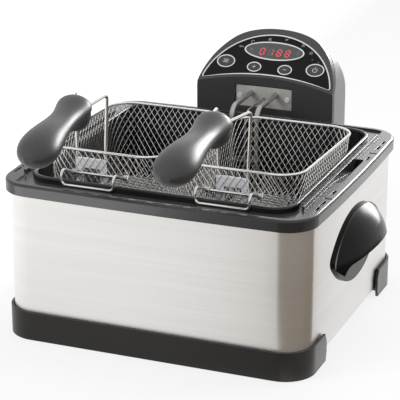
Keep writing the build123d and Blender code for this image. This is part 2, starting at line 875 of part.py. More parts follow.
# Power inlet on the back, with its pins
inlet_front = head_back - inlet_body_depth
inlet = bar(-inlet_x, inlet_x, inlet_front, head_back, inlet_low, inlet_high)
flange_back = head_back + inlet_flange_thickness
inlet += bar(
    -inlet_x - inlet_flange,
    inlet_x + inlet_flange,
    head_back,
    flange_back,
    inlet_low - inlet_flange,
    inlet_high + inlet_flange,
)
socket_floor = inlet_front + inlet_wall
inlet -= bar(
    inlet_wall - inlet_x,
    inlet_x - inlet_wall,
    socket_floor,
    flange_back + overcut,
    inlet_low + inlet_wall,
    inlet_high - inlet_wall,
)
parts["power_inlet"] = inlet
parts["inlet_pins"] = [
    rod(
        inlet_pin_radius,
        (s * inlet_pin_spread, socket_floor, inlet_z),
        (s * inlet_pin_spread, socket_floor + inlet_pin_length, inlet_z),
    )
    for s in (-1, 1)
]

# Safety switch over the cradle's post
post_top = head_bottom - seat_gap + interlock_post_height
slot_x = interlock_post_radius + 2 * interlock_hole_gap
safety = bar(
    switch_x - interlock_width / 2,
    switch_x + interlock_width / 2,
    switch_y - interlock_depth / 2,
    switch_y + interlock_depth / 2,
    floor_top,
    floor_top + interlock_height,
)
safety -= bar(
    switch_x - slot_x,
    switch_x + slot_x,
    switch_y - interlock_depth,
    switch_y + interlock_depth,
    floor_top - overcut,
    post_top + seat_gap,
)
parts["interlock_switch"] = safety

# Element plate, screws, heating element, probe, clip and thermal cut-out
parts["element_plate"] = element_plate
parts["element_screws"] = [
    screw(
        (x, plate_face_y, element_plate_z),
        (x, pad_back - tip_gap, element_plate_z),
        screw_radius,
        screw_head_radius,
        screw_head_height,
    )
    for x in plate_screw_x
]
tail_y = pad_back + element_tail
entry_y = element_down_y - element_entry
half_loop = [
    (element_spread, tail_y, element_exit_z),
    (element_spread, element_down_y, element_exit_z),
    (element_spread, element_down_y, element_z),
    (element_spread, entry_y, element_z),
    (element_outer_x, entry_y, element_z),
    (element_outer_x, element_front_y, element_z),
    (element_inner_x, element_front_y, element_z),
    (element_inner_x, element_middle_y, element_z),
]
loop = [(element_shift + x, y, z) for x, y, z in half_loop]
loop += [(element_shift - x, y, z) for x, y, z in reversed(half_loop)]
element = bent_wire(loop, [element_bend] * (len(loop) - 2), element_diameter)
for x in leg_x:
    element += rod(
        terminal_radius, (x, tail_y, element_exit_z), (x, tail_y + terminal_length, element_exit_z)
    )
parts["heating_element"] = element
probe_y = element_down_y + probe_back
probe_path = [
    (element_shift, pad_back + element_tail / 2, probe_exit_z),
    (element_shift, probe_y, probe_exit_z),
    (element_shift, probe_y, probe_tip_z),
]
probe = bent_wire(probe_path, [element_bend], probe_diameter)
bulb_low = (element_shift, probe_y, probe_tip_z - probe_bulb_length / 2)
bulb_high = (element_shift, probe_y, probe_tip_z + probe_bulb_length / 2)
bulb = rod(probe_bulb_radius, bulb_low, bulb_high)
parts["thermostat_probe"] = probe + bulb
clip = bar(
    leg_x[0] - clip_margin,
    leg_x[1] + clip_margin,
    element_down_y - clip_margin,
    probe_y + clip_margin,
    clip_z,
    clip_z + clip_thickness,
)
for x in leg_x:
    hole_low = (x, element_down_y, clip_z - overcut)
    clip -= rod(tube_hole, hole_low, (x, element_down_y, clip_z + clip_thickness + overcut))
hole_low = (element_shift, probe_y, clip_z - overcut)
clip -= rod(probe_hole, hole_low, (element_shift, probe_y, clip_z + clip_thickness + overcut))
parts["element_clip"] = clip
cutout_z = element_plate_z - cutout_drop
cutout_seat = (element_shift, pad_back, cutout_z)
cutout_end = (element_shift, pad_back + cutout_height, cutout_z)
parts["thermal_cutout"] = rod(cutout_radius, cutout_seat, cutout_end)
terminal_y = power_board_y - terminal_size[1] / 2
lead_start = tail_y + terminal_length
parts["element_leads"] = [
    bent_wire(
        [(x, lead_start, element_exit_z), (x, terminal_y, element_exit_z), (x, terminal_y, power_board_high)],
        [lead_bend],
        lead_diameter,
    )
    for x in leg_x
]

# Cradle: a tray for the head's foot, on ribs and a plate screwed to the back of the shell
tray_floor = head_bottom - seat_gap
tray_half = head_width / 2 + cradle_gap
tray_front = head_front - cradle_gap
tray_back = head_back + cradle_gap
tray = bar(
    -tray_half - cradle_wall,
    tray_half + cradle_wall,
    tray_front - cradle_wall,
    tray_back + cradle_wall,
    tray_floor - cradle_floor,
    tray_floor + cradle_height,
)
tray = fillet(tray.edges().filter_by(Axis.Z), cradle_round)
hollow = bar(-tray_half, tray_half, tray_front, tray_back, tray_floor, tray_floor + cradle_height + overcut)
tray -= fillet(hollow.edges().filter_by(Axis.Z).sort_by(Axis.Y)[2:], cradle_round - cradle_wall)
plate_y = half_depth + cradle_plate_thickness
tray += bar(
    -cradle_plate_half_width,
    cradle_plate_half_width,
    half_depth,
    plate_y,
    cradle_plate_low,
    cradle_plate_high,
)
for x in (-cradle_rib_x, 0, cradle_rib_x):
    rib = [
        (half_depth, cradle_plate_low),
        (plate_y, cradle_plate_low),
        (tray_front, tray_floor - cradle_floor),
        (tray_front, tray_floor + cradle_height),
        (half_depth, tray_floor + cradle_height),
    ]
    tray += side_profile(rib, x - cradle_rib_thickness / 2, x + cradle_rib_thickness / 2)
tray -= hollow
for x, z in cradle_spots:
    tray -= rod(screw_radius + small_gap, (x, half_depth - overcut, z), (x, plate_y + overcut, z))
post_root = (switch_x, switch_y, tray_floor - overcut)
tray += rod(interlock_post_radius, post_root, (switch_x, switch_y, post_top))
parts["head_cradle"] = tray
parts["cradle_screws"] = [
    screw(
        (x, half_depth - sheet, z),
        (x, plate_y, z),
        screw_radius,
        screw_head_radius,
        screw_head_height,
    )
    for x, z in cradle_spots
]

# Baskets, drawn level about the middle of the rim wire, then hung
slope = math.atan2(basket_taper, basket_height)
net_height = math.hypot(basket_taper, basket_height)
net_lean = net_thickness / 2 * math.sin(slope)
net_low = rim_wire / 2 + net_lean


def diamonds(width, height, cell_width, cell_height, inside):
    """Staggered diamond gaps over a rectangle, those that pass the test of being inside."""
    gaps = []
    columns = int(width / cell_width) + 2
    rows = int(2 * height / cell_height) + 2
    for row in range(-rows, rows + 1):
        for column in range(-columns, columns + 1):
            x = (column + (row % 2) / 2) * cell_width
            y = row * cell_height / 2
            if inside(abs(x) + cell_width / 2, abs(y) + cell_height / 2):
                a = (cell_width - net_bar) / 2
                b = (cell_height - net_bar * cell_height / cell_width) / 2
                corners = [(x - a, y), (x, y - b), (x + a, y), (x, y + b)]
                gaps.append(Wire.make_polygon([Vector(*c) for c in corners], close=True))
    return gaps


def wall_net(length, half):
    """Flat net that leans in, its top edge under the rim wire at the distance half to the front."""
    middle = net_height / 2
    page = Plane(
        origin=(0, middle * math.sin(slope) - half, -net_low - middle * math.cos(slope)),
        x_dir=(1, 0, 0),
        z_dir=(0, -math.cos(slope), -math.sin(slope)),
    )
    room = (length / 2 - net_margin + net_cell_width / 4, middle - net_margin + net_cell_height / 4)
    gaps = diamonds(
        length,
        net_height,
        net_cell_width,
        net_cell_height,
        lambda x, y: x <= room[0] and y <= room[1],
    )
    outline = Rectangle(length, net_height).wire()
    holed = Face(outline, gaps)
    return page * (Pos(0, 0, -net_thickness / 2) * extrude(holed, net_thickness)), page


def basket_parts():
    """Nets and rim wire of one basket, level, about the middle of the wire, and the front net's page."""
    front_length = basket_width - 2 * basket_corner
    side_length = basket_length - 2 * basket_corner
    front_net, front_page = wall_net(front_length, basket_length / 2)
    side_net = Rot(0, 0, 90) * wall_net(side_length, basket_width / 2)[0]
    section = [
        (0, -net_height / 2, -net_thickness / 2),
        (0, -net_height / 2, net_thickness / 2),
        (0, net_height / 2, net_thickness / 2),
        (0, net_height / 2, -net_thickness / 2),
    ]
    edge_points = [front_page.from_local_coords((front_length / 2, y, z)) for _, y, z in section]
    edge_face = make_face(Polyline(*edge_points, close=True))
    corner_axis = Axis((front_length / 2, -side_length / 2, 0), (0, 0, 1))
    corner = revolve(edge_face, axis=corner_axis, revolution_arc=90)
    corners = [corner, mirror(corner, about=Plane.YZ)]
    corners += [mirror(piece, about=Plane.XZ) for piece in corners]
    walls = [front_net, mirror(front_net, about=Plane.XZ), side_net, mirror(side_net, about=Plane.YZ)]

    floor_width = basket_width - 2 * basket_taper + net_thickness
    floor_length = basket_length - 2 * basket_taper + net_thickness
    floor_corner = basket_corner - basket_taper + net_thickness / 2
    reach = floor_corner * (1 - math.sqrt(0.5))

    def on_floor(x, y):
        """Whether a cell's far corner lies inside the rounded floor."""
        if x > floor_width / 2 - net_margin or y > floor_length / 2 - net_margin:
            return False
        cut = floor_width / 2 + floor_length / 2 - 2 * reach - net_margin - floor_cell / 2
        return x + y < cut

    gaps = diamonds(floor_width, floor_length, floor_cell, floor_cell, on_floor)
    floor_face = Face(RectangleRounded(floor_width, floor_length, floor_corner).wire(), gaps)
    floor_z = -net_low - basket_height - net_lean - net_thickness
    floor = Pos(0, 0, floor_z) * extrude(floor_face, net_thickness)

    loop_path = RectangleRounded(basket_width, basket_length, basket_corner).wire()
    loop_start = Plane(origin=loop_path @ 0, z_dir=loop_path % 0)
    rim_loop = sweep(loop_start * Circle(rim_wire / 2), path=loop_path)

    pieces = {
        "basket_walls": walls + corners,
        "basket_floor": [floor],
        "basket_rim": [rim_loop],
    }
    return pieces, front_page


def handle_parts(page, post_shift, grip_shift, sway):
    """Bracket on the inside of the front net, the two wires and the grip that sways to one side."""
    top = net_height / 2 - bracket_drop
    portal = Pos(post_shift, top - bracket_height / 2) * Rectangle(bracket_width, bracket_height)
    window_height = bracket_height - bracket_bar
    window = Rectangle(bracket_width - 2 * bracket_leg, window_height)
    portal -= Pos(post_shift, top - bracket_bar - window_height / 2) * window
    inner_page = page.offset(-net_thickness / 2 - bracket_thickness)
    bracket = inner_page * extrude(portal, bracket_thickness)

    post_y = (rim_wire + post_wire) / 2 - basket_length / 2
    arm_y = post_y - arm_step
    arm_z = post_height - arm_drop
    grip_y = arm_y - arm_run
    posts = []
    for s in (-1, 1):
        post_x = post_shift + s * post_spread
        arm_x = grip_shift + s * arm_spread
        route = [
            (post_x, post_y, -post_tail),
            (post_x + s * post_splay, post_y, post_height),
            (arm_x, arm_y, arm_z),
            (arm_x, grip_y, arm_z),
        ]
        posts.append(bent_wire(route, [post_bend, arm_bend], post_wire))

    rings = []
    for reach_out, drop, width, height in grip_sections:
        middle = (grip_shift + sway * reach_out, grip_y - reach_out, arm_z - drop)
        ring_page = Plane(origin=middle, x_dir=(1, 0, 0), z_dir=(0, -1, 0))
        rings.append(ring_page * Ellipse(width / 2, height / 2))
    guard_z = arm_z - grip_guard_drop
    guard = Pos(grip_shift, grip_y - grip_guard_back, guard_z) * Sphere(grip_guard_radius)
    guard -= bar(
        grip_shift - 2 * grip_guard_radius,
        grip_shift + 2 * grip_guard_radius,
        grip_y,
        grip_y + 2 * grip_guard_radius,
        guard_z - 2 * grip_guard_radius,
        guard_z + 2 * grip_guard_radius,
    )
    return {
        "handle_bracket": [bracket],
        "handle_wires": posts,
        "handle_grip": [loft(rings) + guard],
    }


def drain_hook(hang):
    """Wire hook that stands on the rim in front of the pot's lip, with its bar on the basket's front."""
    bar_lean = (hook_bar_drop - net_low) * math.tan(slope)
    bar_y = bar_lean - basket_length / 2 - (net_thickness + hook_wire) / 2 / math.cos(slope) - small_gap
    root = (hang * Pos(0, bar_y, -hook_bar_drop)).position
    leg_y = -lip_half_length - hook_gap - hook_wire / 2
    low = ledge_top + seat_gap + hook_wire / 2
    rise = Vector(0, leg_y - root.Y, low + hook_arch - root.Z).normalized()
    weld = root + rise * (hook_wire / 2 + small_gap)
    side_points = [(weld.Y, weld.Z), (leg_y, low + hook_arch), (leg_y, low)]
    route = [(root.X - hook_half_width, y, z) for y, z in side_points]
    route += [(root.X + hook_half_width, y, z) for y, z in reversed(side_points)]
    loop = bent_wire(route, [hook_bend] * 4, hook_wire)
    reach = hook_half_width + hook_bar_overhang
    cross = rod(hook_wire / 2, (root.X - reach, root.Y, root.Z), (root.X + reach, root.Y, root.Z))
    return [loop, cross]


net_pieces, net_page = basket_parts()
basket_sides = (
    ("left", -basket_x, (left_post_shift, left_grip_shift, left_grip_sway)),
    ("right", basket_x, (right_post_shift, right_grip_shift, right_grip_sway)),
)
for side_name, x, handle_places in basket_sides:
    hang = Pos(x, basket_y, basket_z) * Rot(-hang_angle, 0, 0)
    level_basket = net_pieces | handle_parts(net_page, *handle_places)
    for piece_name, solids in level_basket.items():
        parts[f"{side_name}_{piece_name}"] = [hang * solid for solid in solids]
    parts[f"{side_name}_drain_hook"] = drain_hook(hang)

os.makedirs("parts", exist_ok=True)
for name, shape in parts.items():
    if isinstance(shape, list):
        shape = Compound([solid for piece in shape for solid in piece.solids()])
    export_step(shape, f"parts/{name}.step")
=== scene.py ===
import math
import bmesh
import bpy
import numpy as np
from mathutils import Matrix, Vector


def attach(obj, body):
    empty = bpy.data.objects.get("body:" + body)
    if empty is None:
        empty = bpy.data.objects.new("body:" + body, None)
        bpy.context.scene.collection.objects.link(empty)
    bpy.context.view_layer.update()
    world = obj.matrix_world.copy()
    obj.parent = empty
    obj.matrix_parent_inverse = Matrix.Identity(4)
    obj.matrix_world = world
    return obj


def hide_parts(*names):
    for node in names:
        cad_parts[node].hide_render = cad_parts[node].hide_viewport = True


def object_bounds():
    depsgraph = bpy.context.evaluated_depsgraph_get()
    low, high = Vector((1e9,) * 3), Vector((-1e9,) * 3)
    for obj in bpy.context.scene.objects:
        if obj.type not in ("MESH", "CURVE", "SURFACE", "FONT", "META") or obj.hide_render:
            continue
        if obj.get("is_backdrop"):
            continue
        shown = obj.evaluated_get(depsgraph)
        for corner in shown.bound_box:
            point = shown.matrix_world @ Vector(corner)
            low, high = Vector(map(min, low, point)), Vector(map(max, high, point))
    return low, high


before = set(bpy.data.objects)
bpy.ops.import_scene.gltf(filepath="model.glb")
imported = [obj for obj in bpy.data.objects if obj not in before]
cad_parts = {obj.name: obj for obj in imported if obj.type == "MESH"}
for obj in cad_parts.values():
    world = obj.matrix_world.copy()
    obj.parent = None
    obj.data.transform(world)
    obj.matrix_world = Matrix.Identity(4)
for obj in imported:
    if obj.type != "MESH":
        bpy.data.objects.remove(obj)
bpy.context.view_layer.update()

# Housing shell: one wrapped sheet of stainless steel, 1 mm thick and brushed along its length.
# It stands on the shelves of the base mouldings and is clamped under the top rim.
mm = 0.001
shell_half = (195.0, 181.0)
shell_radius = 35.0
shell_low, shell_high, shell_rows = 13.0, 199.0, 9
sheet = 1.0
steel_tint = (0.90, 0.885, 0.865, 1.0)
steel_dull = (0.70, 0.685, 0.66, 1.0)


class Paint:
    """A socket of a material; plus, minus, times and greater-than on it add Math nodes."""

    def __init__(self, tree, socket=None):
        self.tree = tree
        self.socket = socket

    def node(self, kind, settings, sockets, output=0):
        """Adds a node: its settings first, then a value or a link on each socket."""
        made = self.tree.nodes.new(kind)
        for key, value in settings.items():
            setattr(made, key, value)
        for key, value in sockets.items():
            if isinstance(value, Paint):
                self.tree.links.new(value.socket, made.inputs[key])
            else:
                made.inputs[key].default_value = value
        return Paint(self.tree, made.outputs[output]) if len(made.outputs) else None

    def maths(self, operation, first, second):
        """One Math node on two values."""
        return self.node("ShaderNodeMath", {"operation": operation}, {0: first, 1: second})

    def mix(self, low, high):
        """Colour between low and high by this value."""
        return self.node("ShaderNodeMix", {"data_type": "RGBA"}, {0: self, 6: low, 7: high}, 2)

    def __add__(self, other):
        return self.maths("ADD", self, other)

    def __sub__(self, other):
        return self.maths("SUBTRACT", self, other)

    def __rsub__(self, other):
        return self.maths("SUBTRACT", other, self)

    def __mul__(self, other):
        return self.maths("MULTIPLY", self, other)

    def __gt__(self, other):
        return self.maths("GREATER_THAN", self, other)

    __radd__ = __add__
    __rmul__ = __mul__


def new_finish(name):
    """Empty material, the start of its nodes and its Object coordinates."""
    material = bpy.data.materials.new(name)
    material.use_nodes = True
    material.node_tree.nodes.clear()
    start = Paint(material.node_tree)
    return material, start, start.node("ShaderNodeTexCoord", {}, {}, "Object")


def close_finish(start, sockets):
    """Principled shader with these sockets, on the material's surface."""
    shader = start.node("ShaderNodeBsdfPrincipled", {}, sockets)
    start.node("ShaderNodeOutputMaterial", {}, {"Surface": shader})


def clouds(start, place, scale, detail=2.0):
    """Noise of one scale in every direction."""
    return start.node("ShaderNodeTexNoise", {}, {"Vector": place, "Scale": scale, "Detail": detail})


def streaks(start, place, scales):
    """Noise drawn out along one axis: the place is scaled by a different factor on each axis."""
    return clouds(start, start.node("ShaderNodeMapping", {}, {"Vector": place, "Scale": scales}), 1.0)


def relief(start, height, strength, distance, **normal):
    """Bump from a height, over the given normal if there is one."""
    sockets = {"Strength": strength, "Distance": distance, "Height": height}
    return start.node("ShaderNodeBump", {}, {**sockets, **normal})


def brushed_steel(name, dull, tint, scratch, band, roughness):
    """Steel with fine scratches, broader bands and a cloudy change of gloss."""
    material, start, place = new_finish(name)
    fine = streaks(start, place, scratch)
    broad = streaks(start, place, band)
    cloud = clouds(start, place, 9.0, 3.0)
    sockets = {
        "Base Color": (0.55 * fine + 0.45 * broad).mix(dull, tint),
        "Metallic": 1.0,
        "Roughness": roughness + 0.10 * (fine - 0.5) + 0.06 * (cloud - 0.5),
        "Anisotropic": 0.8,
        "Anisotropic Rotation": 0.25,
        "Normal": relief(start, fine, 0.25, 0.00006),
    }
    close_finish(start, sockets)
    return material


def rounded_outline(half_x, half_y, radius, arc_steps=20, side_steps=16):
    """Rounded rectangle, anticlockwise: a quarter circle about each corner's centre, then a straight side.
    Returns the points and the directions that point out of it."""
    turn = np.linspace(0, math.pi / 2, arc_steps + 1)
    along = np.linspace(0, 1, side_steps + 1)[1:-1, None]
    corners, ways = [], []
    for quarter, (sx, sy) in enumerate([(1, 1), (-1, 1), (-1, -1), (1, -1)]):
        angle = turn + quarter * math.pi / 2
        way = np.stack([np.cos(angle), np.sin(angle)], 1)
        corners.append(np.array([sx * (half_x - radius), sy * (half_y - radius)]) + radius * way)
        ways.append(way)
    ring, out = [], []
    for quarter in range(4):
        end, start = corners[quarter][-1], corners[(quarter + 1) % 4][0]
        ring += [corners[quarter], end + (start - end) * along]
        out += [ways[quarter], np.repeat(ways[quarter][-1:], len(along), 0)]
    return np.concatenate(ring), np.concatenate(out)


def carry(profile, ring, out):
    """Profile of (outward, height) carried round a ring: each point moves out along the ring's direction."""
    profile = np.asarray(profile, float)
    flat = ring[:, None, :] + out[:, None, :] * profile[None, :, :1]
    height = np.broadcast_to(profile[None, :, 1:], flat.shape[:2] + (1,))
    return np.concatenate([flat, height], 2)


def grid_faces(rows, columns, ring=False, loop=False):
    """Quads between neighbours on a grid; ring joins the last row to the first, loop the last column."""
    i = np.arange(rows if ring else rows - 1)[:, None]
    j = np.arange(columns if loop else columns - 1)[None, :]
    ahead, beside = (i + 1) % rows, (j + 1) % columns
    corners = [i * columns + j, ahead * columns + j, ahead * columns + beside, i * columns + beside]
    return np.stack(np.broadcast_arrays(*corners), -1).reshape(-1, 4)


def merge_doubles(mesh, distance=1e-6):
    """Joins points that fall together, as at poles and seams, and drops faces left without area."""
    work = bmesh.new()
    work.from_mesh(mesh)
    bmesh.ops.remove_doubles(work, verts=work.verts, dist=distance)
    bmesh.ops.dissolve_degenerate(work, edges=work.edges, dist=distance / 10)
    work.to_mesh(mesh)
    work.free()
    mesh.validate()


def put(name, surfaces, finish, body, stands_for=(), crease=40.0):
    """One object at the origin from (points in mm, face blocks) surfaces: doubles merged, shaded smooth
    up to the crease angle, riding on its body in place of the nodes that it stands for."""
    points, faces, start = [], [], 0
    for places, blocks in surfaces:
        places = places.reshape(-1, 3)
        points.append(places)
        for block in blocks:
            faces += (np.asarray(block) + start).tolist()
        start += len(places)
    mesh = bpy.data.meshes.new(name)
    mesh.from_pydata((np.concatenate(points) * mm).tolist(), [], faces)
    merge_doubles(mesh)
    mesh.polygons.foreach_set("use_smooth", np.ones(len(mesh.polygons), bool))
    mesh.set_sharp_from_angle(angle=math.radians(crease))
    mesh.materials.append(finish)
    piece = bpy.data.objects.new(name, mesh)
    bpy.context.scene.collection.objects.link(piece)
    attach(piece, body)
    if stands_for:
        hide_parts(*stands_for)
    return piece


ring, out = rounded_outline(*shell_half, shell_radius)
heights = np.linspace(shell_low, shell_high, shell_rows)
wall = [(0, z) for z in heights] + [(-sheet, z) for z in heights[::-1]]
points = carry(wall, ring, out)
shell_faces = grid_faces(len(ring), len(wall), ring=True, loop=True)
steel = brushed_steel(
    "brushed_steel", steel_dull, steel_tint, scratch=(6, 6, 900), band=(1.5, 1.5, 120), roughness=0.32
)
put("steel_shell", [(points, [shell_faces])], steel, "housing", ["outer_shell"])


# Base mouldings: two black mouldings that wrap the corners and carry the shell on an inner shelf.
# Pads of rubber are pressed into their bosses.
def grained(name, dark, light, roughness, grain, depth, round_edge=0.0, **fixed):
    """Moulded plastic or satin metal: a cloudy change of shade and gloss, and a fine grain as bump over
    softened edges."""
    material, start, place = new_finish(name)
    cloud = clouds(start, place, 22.0, 3.0)
    speck = clouds(start, place, grain)
    edges = {}
    if round_edge:
        edges["Normal"] = start.node("ShaderNodeBevel", {"samples": 6}, {"Radius": round_edge})
    sockets = {
        "Base Color": (0.7 * cloud + 0.3 * speck).mix(dark, light),
        "Roughness": roughness + 0.12 * (cloud - 0.5) + 0.08 * (speck - 0.5),
        "Normal": relief(start, speck, 0.35, depth, **edges),
    }
    close_finish(start, {**sockets, **fixed})
    return material


def dress(finish, *nodes):
    """Gives CAD nodes their finish."""
    for node in nodes:
        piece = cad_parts[node]
        if not piece.material_slots:
            piece.data.materials.append(finish)
        for place in piece.material_slots:
            place.material = finish


foot_plastic = grained(
    "foot_plastic",
    dark=(0.007, 0.006, 0.005, 1),
    light=(0.014, 0.012, 0.010, 1),
    roughness=0.36,
    grain=2600.0,
    depth=0.00004,
    round_edge=0.0012,
    **{"Specular IOR Level": 0.36},
)
dress(foot_plastic, "front_foot", "rear_foot")
pad_rubber = grained(
    "pad_rubber",
    dark=(0.01, 0.01, 0.01, 1),
    light=(0.03, 0.03, 0.03, 1),
    roughness=0.8,
    grain=3000.0,
    depth=0.00008,
    round_edge=0.0005,
)
dress(pad_rubber, "foot_pads")


# Bottom plate, screws and tie rods: zinc-plated steel with a spangled dull sheen.
# The rods pull the rim down on the shell and the base from below.
def plated(name, dark, light, roughness, grain):
    """Plated metal: small patches of different brightness, as crystals on zinc, and a fine bump."""
    material, start, place = new_finish(name)
    patch = start.node("ShaderNodeTexVoronoi", {"feature": "F1"}, {"Vector": place, "Scale": grain}, 1)
    tone = start.node("ShaderNodeSeparateColor", {}, {0: patch})
    cloud = clouds(start, place, 60.0)
    sockets = {
        "Base Color": tone.mix(dark, light),
        "Metallic": 1.0,
        "Roughness": roughness + 0.1 * (cloud - 0.5),
        "Normal": relief(start, cloud, 0.2, 0.00005),
    }
    close_finish(start, sockets)
    return material


zinc = plated("zinc", dark=(0.42, 0.43, 0.44, 1), light=(0.62, 0.63, 0.64, 1), roughness=0.38, grain=160.0)
screw_zinc = plated(
    "screw_zinc", dark=(0.5, 0.5, 0.5, 1), light=(0.75, 0.75, 0.74, 1), roughness=0.25, grain=900.0
)
dress(zinc, "bottom_plate")
dress(screw_zinc, "tie_rods", "base_screws", "handle_screws", "cradle_screws")
dress(screw_zinc, "cover_screws", "board_screws")

# Top rim: black moulding with a recessed ledge, rails beside the pot, finger scoops and grooves.
# Its skirt drops over the top of the shell.
rim_plastic = grained(
    "rim_plastic",
    dark=(0.022, 0.022, 0.0225, 1),
    light=(0.034, 0.034, 0.035, 1),
    roughness=0.24,
    grain=1800.0,
    depth=0.00003,
    round_edge=0.0012,
    **{"Specular IOR Level": 0.45},
)
dress(rim_plastic, "top_rim")

# Carry handles: a hooded grip over a finger pocket, moulded in gloss black with its hollow back plate.
# Screws from inside the shell go into two bosses.
handle_plastic = grained(
    "handle_plastic",
    dark=(0.003, 0.003, 0.003, 1),
    light=(0.008, 0.0075, 0.007, 1),
    roughness=0.22,
    grain=1500.0,
    depth=0.00003,
    round_edge=0.0015,
    **{"Specular IOR Level": 0.16},
)
dress(handle_plastic, "right_carry_handle", "left_carry_handle")

# Oil pot: deep-drawn pan with a black non-stick coating; its lip is turned out and down over the rim's edge.
# Two raised level marks stand on the inside of its front wall.
pot_half = (167.0, 158.5)
pot_radius, pot_wall = 26.0, 1.5
pot_low, lip_low, lip_top, lip_reach = 84.0, 201.9, 209.0, 4.0
floor_round, lip_round, mouth_round = 12.0, 2.2, 2.5
level_heights, level_size, level_sink = (128.0, 148.0), (44.0, 1.6), 0.4


def arc(centre, radius, start, end, steps=8):
    """Points on part of a circle, angles in degrees."""
    angle = np.radians(np.linspace(start, end, steps))
    return np.stack([centre[0] + radius * np.cos(angle), centre[1] + radius * np.sin(angle)], 1)


def block(low, high):
    """Closed box between two corners."""
    low, high = np.asarray(low, float), np.asarray(high, float)
    pick = np.array([[0, 0, 0], [1, 0, 0], [1, 1, 0], [0, 1, 0], [0, 0, 1], [1, 0, 1], [1, 1, 1], [0, 1, 1]])
    sides = [[0, 3, 2, 1], [4, 5, 6, 7], [0, 1, 5, 4], [1, 2, 6, 5], [2, 3, 7, 6], [3, 0, 4, 7]]
    return low + (high - low) * pick, [np.array(sides)]


floor_turn = (-floor_round, pot_low + floor_round)
lip_inner, lip_under = lip_reach - pot_wall, lip_top - pot_wall
pot_profile = np.concatenate(
    [
        arc(floor_turn, floor_round, -90, 0),
        [(0, lip_under), (lip_inner, lip_under), (lip_inner, lip_low), (lip_reach, lip_low)],
        arc((lip_reach - lip_round, lip_top - lip_round), lip_round, 0, 90),
        arc((mouth_round - pot_wall, lip_top - mouth_round), mouth_round, 90, 180),
        arc(floor_turn, floor_round - pot_wall, 0, -90),
    ]
)
ring, out = rounded_outline(*pot_half, pot_radius)
pot = carry(pot_profile, ring, out)
rows, columns = pot.shape[:2]
under = (np.arange(rows) * columns)[None, ::-1]
inside = (np.arange(rows) * columns + columns - 1)[None, :]
pot_surfaces = [(pot, [grid_faces(rows, columns, ring=True), under, inside])]
wall_y = pot_wall - pot_half[1]
for z in level_heights:
    low = (-level_size[0] / 2, wall_y - level_sink, z)
    high = (level_size[0] / 2, wall_y + pot_wall / 2, z + level_size[1])
    pot_surfaces.append(block(low, high))

coating, start, place = new_finish("pot_coating")
speck = clouds(start, place, 1400.0)
cloud = clouds(start, place, 18.0, 4.0)
flakes = speck > 0.68
sockets = {
    "Base Color": (0.5 * flakes + 0.3 * cloud).mix((0.005, 0.005, 0.005, 1), (0.03, 0.03, 0.03, 1)),
    "Roughness": 0.20 + 0.16 * cloud,
    "Specular IOR Level": 0.4,
    "Normal": relief(start, speck, 0.2, 0.00004),
}
close_finish(start, sockets)
coated_pot = put("coated_pot", pot_surfaces, coating, "pot", ["oil_pot"])

# Cradle: a black moulded tray on ribs, with a plate that is screwed to the back of the shell.
# The head's foot stands in it.
cradle_plastic = grained(
    "cradle_plastic",
    dark=(0.012, 0.012, 0.012, 1),
    light=(0.022, 0.022, 0.022, 1),
    roughness=0.4,
    grain=2200.0,
    depth=0.00004,
    round_edge=0.0008,
)
dress(cradle_plastic, "head_cradle")

# Control head covers: a charcoal front moulding with a sloping face, and a lighter grey back moulding that
# is screwed to it. The inlet, the switches and the display's housing are moulded in the cradle's black.
head_black = grained(
    "head_black",
    dark=(0.043, 0.043, 0.043, 1),
    light=(0.060, 0.060, 0.060, 1),
    roughness=0.40,
    grain=1900.0,
    depth=0.00003,
    round_edge=0.002,
    **{"Specular IOR Level": 0.35},
)
head_grey = grained(
    "head_grey",
    dark=(0.22, 0.225, 0.222, 1),
    light=(0.28, 0.285, 0.282, 1),
    roughness=0.42,
    grain=1900.0,
    depth=0.00003,
    round_edge=0.002,
    Metallic=0.15,
)
dress(head_black, "head_front_cover")
dress(head_grey, "head_rear_cover")
dress(cradle_plastic, "power_inlet", "interlock_switch", "button_switches", "display_module")

# Boards in the head: green glass-fibre laminate with copper tracks under its solder mask.
# The inlet's pins are brass, and the element's leads are sleeved in red silicone.
board_green, start, place = new_finish("board_green")
tracks = start.node("ShaderNodeTexBrick", {}, {"Vector": place, "Scale": 90.0}, "Fac")
weave = clouds(start, place, 700.0)
sockets = {
    "Base Color": (0.7 * tracks + 0.3 * weave).mix((0.01, 0.09, 0.03, 1), (0.03, 0.2, 0.07, 1)),
    "Roughness": 0.35 + 0.2 * weave,
    "Normal": relief(start, tracks, 0.3, 0.00003),
}
close_finish(start, sockets)
dress(board_green, "control_board", "power_board")
brass = plated("brass_pins", dark=(0.62, 0.45, 0.2, 1), light=(0.8, 0.6, 0.3, 1), roughness=0.3, grain=700.0)
dress(brass, "inlet_pins")
silicone = grained(
    "lead_silicone",
    dark=(0.35, 0.02, 0.015, 1),
    light=(0.45, 0.03, 0.02, 1),
    roughness=0.5,
    grain=2500.0,
    depth=0.00003,
)
dress(silicone, "element_leads")

# Control panel: a glossy black printed overlay in the slope of the head, with a bright plated border,
# rings round the display and the keys, a smoked window and two small signal lenses.
panel_gloss = grained(
    "panel_gloss",
    dark=(0.003, 0.003, 0.004, 1),
    light=(0.006, 0.006, 0.007, 1),
    roughness=0.30,
    grain=900.0,
    depth=0.00001,
    **{"Specular IOR Level": 0.15},
)
bright_trim = plated(
    "bright_trim", dark=(0.62, 0.63, 0.63, 1), light=(0.82, 0.82, 0.82, 1), roughness=0.28, grain=1200.0
)
window_smoke = grained(
    "window_smoke",
    dark=(0.035, 0.037, 0.039, 1),
    light=(0.05, 0.052, 0.054, 1),
    roughness=0.14,
    grain=700.0,
    depth=0.00001,
    **{"Coat Weight": 0.5},
)
between_lenses = 60.7
lens_tint, start, place = new_finish("lens_tint")
across = start.node("ShaderNodeSeparateXYZ", {}, {0: place}, "X")
cloud = clouds(start, place, 900.0)
lens_red = cloud.mix((0.10, 0.008, 0.008, 1), (0.16, 0.012, 0.012, 1))
